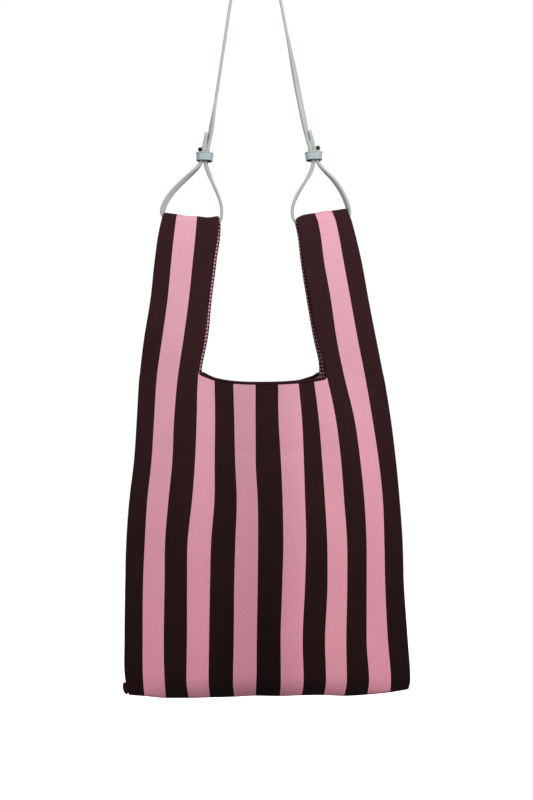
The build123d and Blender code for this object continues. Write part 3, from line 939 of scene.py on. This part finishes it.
def make_rib(name, line, size, uvs_from=None):
    """A rolled or linked seam: an oval rib that follows a line of points, with closed ends."""
    rings, uvs = [], []
    width, height = size
    run = 0.0
    for i, point in enumerate(line):
        before, after = line[max(i - 1, 0)], line[min(i + 1, len(line) - 1)]
        run += (point - before).length
        along = (after - before).normalized()
        depth = Vector((0, 1, 0))
        depth = (depth - along * depth.dot(along)).normalized()
        other = along.cross(depth)
        from_end = min(i, len(line) - 1 - i)
        swell = RIB_ENDS[min(from_end, len(RIB_ENDS) - 1)]
        offsets = [depth * width / 2 * a + other * height / 2 * b for a, b in circle(RIB_SIDES)]
        rings.append([point + offset * MM * swell for offset in offsets])
        uvs += [(uvs_from[i] if uvs_from else k / RIB_SIDES, run) for k in range(RIB_SIDES)]
    rib = make_tube(name, rings, uvs)
    subdivide(rib)
    return rib


def make_neck_binding(panel):
    """The rolled binding along a neckline."""
    us = stripes_between(NECK_LEFT, NECK_RIGHT, steps=70)
    line = [body_point(panel, u, 1.0) + Vector((0, 0, -ROLL_DROP)) * MM for u in us]
    return make_rib(f"{panel}_neck_roll", line, ROLL_SIZE)


def make_side_seam(side):
    """The linked seam down one side of the bag."""
    u, inward = (0, SIDE_SEAM_INWARD) if side == "left" else (STRIPES, -SIDE_SEAM_INWARD)
    bottom, steps = float(BOTTOM_AT(u)), 70
    line = []
    for i in range(steps + 1):
        level = SIDE_SEAM_TOP + (bottom - SIDE_SEAM_TOP) * i / steps
        line.append(Vector((across_at("front", u, level) + inward, 0, level)) * MM)
    return make_rib(f"{side}_seam_ridge", line, SIDE_SEAM_SIZE)


def make_bottom_seam():
    """The linked seam along the bottom, in the panels' own stripes."""
    us = stripes_between(0, STRIPES, steps=104)
    line = []
    for u in us:
        point = body_point("front", u, 0.0)
        line.append(Vector((point.x, 0, point.z + BOTTOM_SEAM_RAISE * MM)))
    return make_rib("bottom_seam_ridge", line, BOTTOM_SEAM_SIZE, uvs_from=us)


def make_fold_seam(side):
    """The linked seam that joins front and back over the strap, behind the top of a handle."""
    first, last = (0, NECK_LEFT) if side == "left" else (NECK_RIGHT, STRIPES)
    us = stripes_between(first, last, steps=24)
    line = []
    for u in us:
        point = fold_point("front", u, 1.0)
        outward = Vector((0, point.y, point.z - AXIS_LEVEL * MM)).normalized()
        line.append(point + outward * TOP_SEAM_OUTWARD * MM)
    return make_rib(f"{side}_top_seam_ridge", line, TOP_SEAM_SIZE, uvs_from=us)


TAB_CENTRE = (-135.2, -813.2)
TAB_RADII = (3.0, 6.8)
TAB_LEAN = 12                     # degrees that its top leans to the left
TAB_THICKNESS = 3.0
TAB_SIDES = 16
# Place in the tab's thickness, and its outline's share of the full size there.
TAB_PROFILE = ((-0.5, 0.55), (-0.42, 0.85), (-0.15, 1.0), (0.15, 1.0), (0.42, 0.85), (0.5, 0.55))


def make_corner_tab():
    """The end of the seam, a small rounded tab that stands out of the lower left corner."""
    lean = radians(TAB_LEAN)
    rings = []
    for depth, share in TAB_PROFILE:
        ring = []
        for a, b in circle(TAB_SIDES):
            a, b = TAB_RADII[0] * share * a, TAB_RADII[1] * share * b
            x = TAB_CENTRE[0] + a * cos(lean) - b * sin(lean)
            z = TAB_CENTRE[1] + a * sin(lean) + b * cos(lean)
            ring.append(Vector((x, depth * TAB_THICKNESS, z)) * MM)
        rings.append(ring)
    tab = make_tube("corner_tab_knit", rings)
    subdivide(tab)
    return tab


# ---- Light and surroundings --------------------------------------------------------------

FLOOR_LEVEL = -1.0
FLOOR_HALF_SIDE = 4.0
FLOOR_WHITE, FLOOR_GLOW = 0.9, 0.75
AMBIENT = 0.58
GROUND_SHARE, SKY_SHARE = 0.55, 1.25       # of the ambient light, from below and from above
KEY_POWER = 15.2
FILL_POWER = 8.0


def make_surroundings():
    """A white studio: its backdrop is plain white, and its light a little stronger from above."""
    world = bpy.data.worlds.new("studio")
    bpy.context.scene.world = world
    world.use_nodes = True
    nodes, links = world.node_tree.nodes, world.node_tree.links
    nodes.clear()
    seen = nodes.new("ShaderNodeBackground")
    seen.inputs["Color"].default_value = (1, 1, 1, 1)
    seen.inputs["Strength"].default_value = 1.0
    lit = nodes.new("ShaderNodeBackground")
    lit.inputs["Strength"].default_value = AMBIENT
    direction = nodes.new("ShaderNodeTexCoord")
    split = nodes.new("ShaderNodeSeparateXYZ")
    links.new(direction.outputs["Generated"], split.inputs[0])
    ramp = nodes.new("ShaderNodeMapRange")
    ramp.inputs["From Min"].default_value = -1.0
    ramp.inputs["From Max"].default_value = 1.0
    ramp.inputs["To Min"].default_value = GROUND_SHARE
    ramp.inputs["To Max"].default_value = SKY_SHARE
    links.new(split.outputs["Z"], ramp.inputs["Value"])
    links.new(ramp.outputs["Result"], lit.inputs["Color"])
    path = nodes.new("ShaderNodeLightPath")
    choice = nodes.new("ShaderNodeMixShader")
    links.new(path.outputs["Is Camera Ray"], choice.inputs["Fac"])
    links.new(lit.outputs[0], choice.inputs[1])
    links.new(seen.outputs[0], choice.inputs[2])
    output = nodes.new("ShaderNodeOutputWorld")
    links.new(choice.outputs[0], output.inputs["Surface"])


def make_area_light(name, location, aim, size, power):
    """A large square soft box."""
    data = bpy.data.lights.new(name, "AREA")
    data.size = size
    data.energy = power
    light = bpy.data.objects.new(name, data)
    light.location = location
    light.rotation_euler = (Vector(aim) - Vector(location)).to_track_quat("-Z", "Y").to_euler()
    bpy.context.scene.collection.objects.link(light)


def make_floor():
    """A plain pale floor a little below the bag."""
    signs = [(-1, -1), (1, -1), (1, 1), (-1, 1)]
    corners = [(x * FLOOR_HALF_SIDE, y * FLOOR_HALF_SIDE, FLOOR_LEVEL) for x, y in signs]
    floor = make_object("floor", corners, [(0, 1, 2, 3)])
    pale = Finish("floor_white")
    pale.shader.inputs["Base Color"].default_value = (FLOOR_WHITE, FLOOR_WHITE, FLOOR_WHITE, 1)
    pale.surface(0.9, 0.0)
    pale.shader.inputs["Emission Color"].default_value = (1, 1, 1, 1)
    pale.shader.inputs["Emission Strength"].default_value = FLOOR_GLOW
    floor.data.materials.append(pale.material)
    floor.visible_diffuse = False
    floor.visible_glossy = False


# ---- The object --------------------------------------------------------------------------

def place_piece(piece, body, node, material=None):
    """The piece rides on its body, stands for its CAD node and takes its finish."""
    if material:
        piece.data.materials.append(material)
    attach(piece, body)
    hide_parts(node)
    return piece


make_camera()
make_surroundings()
make_area_light("key", (0.38, -0.93, 0.4), aim=(0.02, 0.0, -0.42), size=0.9, power=KEY_POWER)
make_area_light("fill", (-0.8, 1.3, 0.3), aim=(0.0, 0.0, -0.5), size=1.2, power=FILL_POWER)
make_floor()

strap_points = strap_line()
strap = place_piece(make_strap(strap_points), "strap", "shoulder_strap",
                    material=strap_leather)
for side in ("left", "right"):
    place_piece(make_turned(f"{side}_ball", side, STUD_PROFILE), "strap",
                             f"{side}_stud")
    place_piece(make_turned(f"{side}_screw", side, SCREW_PROFILE), "strap",
                             f"{side}_stud_screw")
    place_piece(make_keeper(side), f"{side}_keeper", f"{side}_keeper")
tuple(strap_points[0])
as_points(strap_points)

for panel in ("front", "back"):
    knit = place_piece(make_panel(panel), "bag", f"{panel}_panel")
    roll = place_piece(make_neck_binding(panel), "bag", f"{panel}_neck_binding",
                       material=knit_edge)
for side in ("left", "right"):
    place_piece(make_side_seam(side), "bag", f"{side}_side_seam", material=knit_edge)
    place_piece(make_fold_seam(side), "bag", f"{side}_handle_top_seam",
                material=knit_right_side)
place_piece(make_bottom_seam(), "bag", "bottom_seam", material=knit_right_side)
place_piece(make_corner_tab(), "bag", "corner_tab", material=knit_edge)

bpy.context.scene.view_settings.view_transform = "Standard"
bpy.context.view_layer.update()
